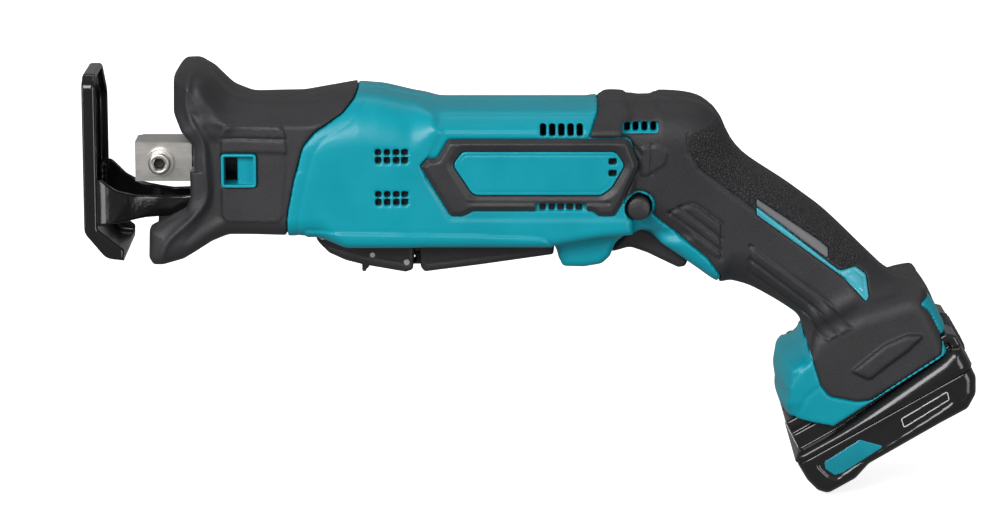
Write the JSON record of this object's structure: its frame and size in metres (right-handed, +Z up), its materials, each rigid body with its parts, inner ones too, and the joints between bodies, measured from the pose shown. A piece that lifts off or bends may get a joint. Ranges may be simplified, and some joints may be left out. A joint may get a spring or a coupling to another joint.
{
  "type": "reciprocating saw",
  "caption": "Compact battery reciprocating saw with a long barrel, pivoting steel shoe, screw blade clamp, paddle switch, trigger, slanted grip and slide-on battery.",
  "frame": {"origin": "on the stroke axis, where it crosses the blade clamp screw's axis, at mid-stroke", "axes": "+X along the stroke from the blade end towards the battery, +Y to the saw's right, +Z up"},
  "size_m": [0.3497, 0.0663, 0.1681],
  "materials": {
    "teal_plastic": "fine satin",
    "charcoal_rubber": "matte, leather grain on the grip",
    "charcoal_plastic": "fine texture",
    "black_steel": "black oxide",
    "cast_aluminium": "as cast",
    "bronze": "sintered",
    "seal_rubber": "matte",
    "bearing_steel": "ground",
    "can_steel": "plated",
    "magnet": "dull",
    "black_plastic": "matte",
    "brass": "plain",
    "carbon": "carbon",
    "circuit_board": "solder mask",
    "clamp_steel": "satin",
    "shoe_paint": "gloss black",
    "gloss_black": "gloss",
    "cell_wrap": "shrink wrap",
    "label_film": "printed film"
  },
  "bodies": {
    "saw_body": {"housing_left": "teal_plastic", "housing_right": "teal_plastic", "front_boot": "charcoal_rubber", "grip_overmould_left": "charcoal_rubber", "grip_overmould_right": "charcoal_rubber", "badge_panel": "charcoal_plastic", "housing_screws": "black_steel", "gear_case": "cast_aluminium", "gear_case_cover": "cast_aluminium", "cover_screws": "black_steel", "spindle_bushes": "bronze", "dust_seal": "seal_rubber", "crank_bearing": "bearing_steel", "motor_can": "can_steel", "motor_magnets": "magnet", "end_bell": "black_plastic", "motor_bearings": "bearing_steel", "brush_holders": "brass", "carbon_brushes": "carbon", "trigger_switch": "black_plastic", "trigger_spring": "bearing_steel", "controller_board": "circuit_board", "terminal_block": "black_plastic", "contact_blades": "brass", "paddle_microswitch": "black_plastic", "shoe_pivot_pin": "clamp_steel", "paddle_pivot_pins": "clamp_steel"},
    "spindle": {"spindle": "clamp_steel", "blade_clamp": "clamp_steel"},
    "clamp_screw": {"clamp_screw": "clamp_steel"},
    "armature": {"armature_shaft": "bearing_steel", "armature_core": "magnet", "commutator": "brass", "cooling_fan": "black_plastic", "pinion": "bearing_steel"},
    "crank": {"crank_gear": "bearing_steel", "crank_shaft": "bearing_steel", "crank_pin": "bearing_steel", "crank_roller": "bearing_steel"},
    "trigger": {"trigger": "charcoal_plastic"},
    "trigger_lock": {"trigger_lock_button": "charcoal_plastic"},
    "front_paddle": {"front_paddle": "charcoal_plastic", "link_pin": "clamp_steel", "lock_off_pin": "clamp_steel"},
    "rear_paddle": {"rear_paddle": "charcoal_plastic"},
    "lock_off": {"lock_off_lever": "charcoal_plastic"},
    "shoe": {"shoe_plate": "shoe_paint", "shoe_arms": "shoe_paint"},
    "battery": {"battery_case_lower": "gloss_black", "battery_case_upper": "gloss_black", "battery_cells": "cell_wrap", "cell_board": "circuit_board", "battery_label": "label_film", "battery_button_spring": "bearing_steel"},
    "battery_button": {"battery_button": "charcoal_plastic"}
  },
  "joints": [
    {"name": "spindle_stroke", "type": "slide", "parent": "saw_body", "child": "spindle", "axis": [1, 0, 0], "range_m": [-0.0065, 0.0065]},
    {"name": "clamp_screw_turn", "type": "hinge", "parent": "spindle", "child": "clamp_screw", "pos_m": [0, 0, 0], "axis": [0, -1, 0], "range_deg": [0, 270]},
    {"name": "motor_spin", "type": "hinge", "parent": "saw_body", "child": "armature", "pos_m": [0.13, 0, -0.005], "axis": [1, 0, 0], "continuous": true},
    {"name": "crank_spin", "type": "hinge", "parent": "saw_body", "child": "crank", "pos_m": [0.074, 0, -0.015], "axis": [0, 0, 1], "continuous": true},
    {"name": "trigger_pull", "type": "slide", "parent": "saw_body", "child": "trigger", "axis": [0.6198, 0, 0.7848], "range_m": [0, 0.005], "stiffness_N_per_m": 400, "springref_m": -0.001, "deforming": ["trigger_spring"]},
    {"name": "trigger_lock_slide", "type": "slide", "parent": "saw_body", "child": "trigger_lock", "axis": [0, 1, 0], "range_m": [0, 0.004]},
    {"name": "front_paddle_swing", "type": "hinge", "parent": "saw_body", "child": "front_paddle", "pos_m": [0.064, 0, -0.029], "axis": [0, -1, 0], "range_deg": [0, 6.5], "stiffness_Nm_per_rad": 1.5, "springref_deg": -2.86},
    {"name": "rear_paddle_swing", "type": "hinge", "parent": "saw_body", "child": "rear_paddle", "pos_m": [0.152, 0, -0.029], "axis": [0, -1, 0], "range_deg": [-4, 0]},
    {"name": "lock_off_swing", "type": "hinge", "parent": "front_paddle", "child": "lock_off", "pos_m": [0.0835, 0, -0.0368], "axis": [0, 1, 0], "range_deg": [0, 15], "stiffness_Nm_per_rad": 0.02, "springref_deg": -5.73},
    {"name": "shoe_swing", "type": "hinge", "parent": "saw_body", "child": "shoe", "pos_m": [0.024, 0, -0.017], "axis": [0, 1, 0], "range_deg": [-8, 8]},
    {"name": "battery_slide", "type": "slide", "parent": "saw_body", "child": "battery", "axis": [0.866, 0, 0.5], "range_m": [0, 0.08]},
    {"name": "battery_button_press", "type": "slide", "parent": "battery", "child": "battery_button", "axis": [0.5, 0, -0.866], "range_m": [0, 0.0036], "stiffness_N_per_m": 300, "springref_m": -0.001, "deforming": ["battery_button_spring"]}
  ],
  "couplings": [
    {"joint": "crank_spin", "follows": "motor_spin", "ratio": 0.2},
    {"joint": "rear_paddle_swing", "follows": "front_paddle_swing", "ratio": -0.6}
  ]
}
